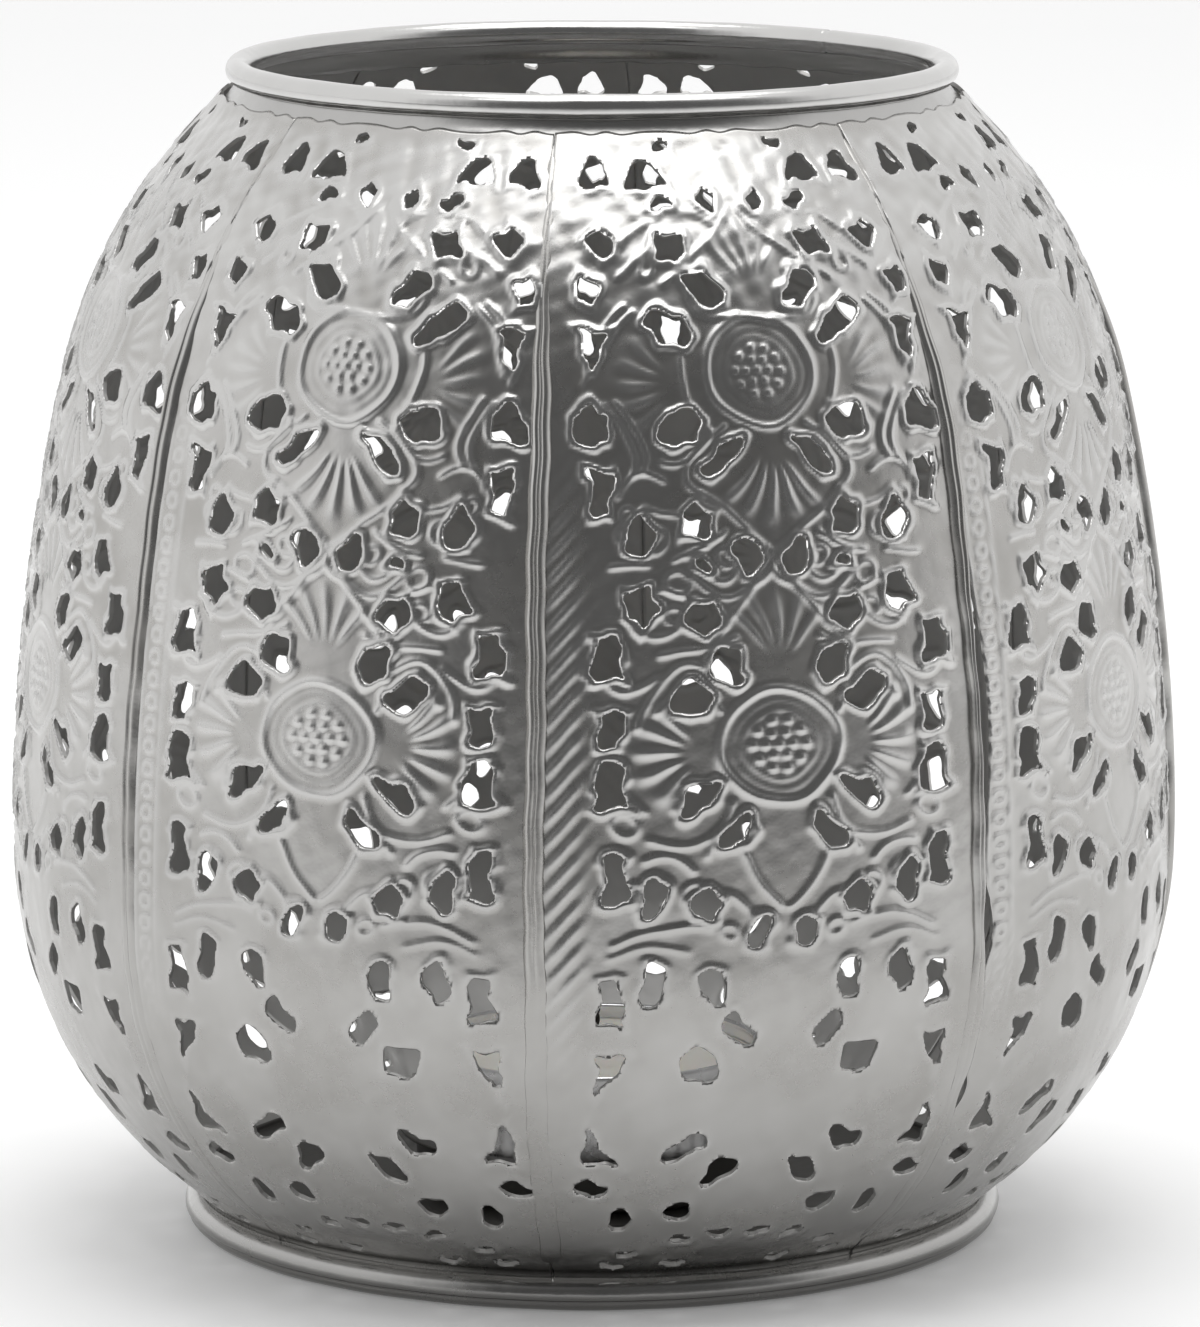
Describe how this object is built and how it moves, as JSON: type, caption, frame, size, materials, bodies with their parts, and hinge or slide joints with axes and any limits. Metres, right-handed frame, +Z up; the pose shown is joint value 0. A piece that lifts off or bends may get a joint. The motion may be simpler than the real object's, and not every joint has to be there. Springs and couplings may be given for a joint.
{
  "type": "pierced metal candle lantern",
  "caption": "Round bellied candle lantern of stamped and pierced sheet metal panels between two rolled hoops, open at the top, with a pan for a tealight that lifts out.",
  "frame": {"origin": "on the surface it stands on, under the middle of the foot hoop", "axes": "+Z up along the lantern's axis; the first wall panel faces -Y"},
  "size_m": [0.13, 0.13, 0.1312],
  "materials": {
    "stamped_panel": "bright nickel plate, lightly brushed",
    "rolled_hoop": "bright nickel plate",
    "wire": "drawn wire",
    "plate": "dull nickel plate",
    "rivet": "plain",
    "tealight_case": "thin drawn foil",
    "wax": "paraffin wax",
    "wick_tab": "tinned",
    "wick": "braided cotton"
  },
  "bodies": {
    "lantern": {"wall_panel_1": "stamped_panel", "wall_panel_2": "stamped_panel", "wall_panel_3": "stamped_panel", "wall_panel_4": "stamped_panel", "wall_panel_5": "stamped_panel", "wall_panel_6": "stamped_panel", "wall_panel_7": "stamped_panel", "wall_panel_8": "stamped_panel", "rim_hoop": "rolled_hoop", "neck_collar": "rolled_hoop", "foot_hoop": "rolled_hoop", "rim_wire": "wire", "foot_wire": "wire", "base_plate": "plate", "candle_pan": "plate", "pan_rivet": "rivet"},
    "tealight": {"tealight_case": "tealight_case", "tealight_wax": "wax", "wick_tab": "wick_tab", "wick": "wick"}
  },
  "joints": [
    {"name": "tealight_lift", "type": "slide", "parent": "lantern", "child": "tealight", "axis": [0, 0, 1], "range_m": [0, 0.135]}
  ]
}
